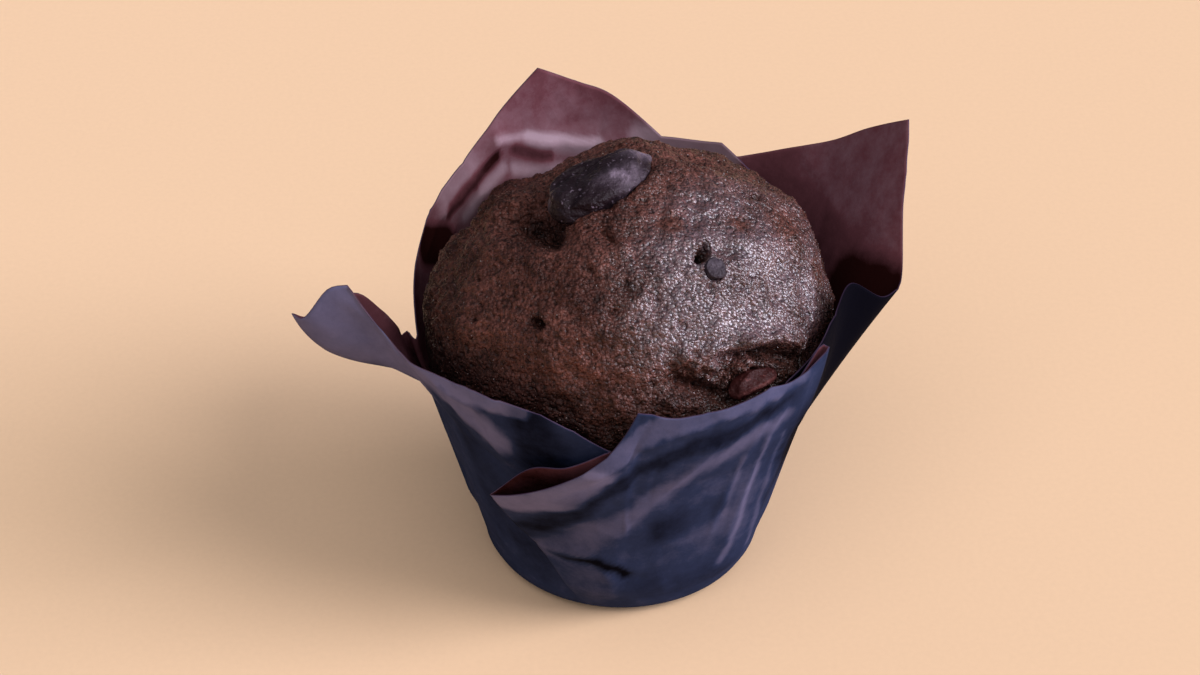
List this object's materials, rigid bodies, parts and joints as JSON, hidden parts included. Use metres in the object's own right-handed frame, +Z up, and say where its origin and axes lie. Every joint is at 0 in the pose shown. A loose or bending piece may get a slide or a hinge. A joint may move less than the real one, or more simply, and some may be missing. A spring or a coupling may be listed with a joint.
{
  "type": "muffin",
  "caption": "Domed chocolate muffin with chocolate chunks in its crust, in a tulip case folded from one square sheet of dark greaseproof paper, standing on its flat base",
  "frame": {"origin": "centre of the flat round base of the paper case, on the surface that it stands on", "axes": "+Z up through the dome, -Y towards the collapsed front petal, +X towards the wide right petal"},
  "size_m": [0.1059, 0.0798, 0.0825],
  "materials": {
    "greaseproof_paper": "satin dyed greaseproof paper, midnight blue outside and wine brown inside, creased",
    "chocolate_cake": "baked chocolate crumb, matte with fine sugary sparkle and open pores",
    "dark_chocolate": "remelted dark chocolate, semi-gloss with a dull grey bloom"
  },
  "bodies": {
    "root": {"wrapper": "greaseproof_paper", "muffin": "chocolate_cake", "chunk_top": "dark_chocolate", "chunk_rim": "dark_chocolate", "chip_small": "dark_chocolate"}
  },
  "joints": []
}
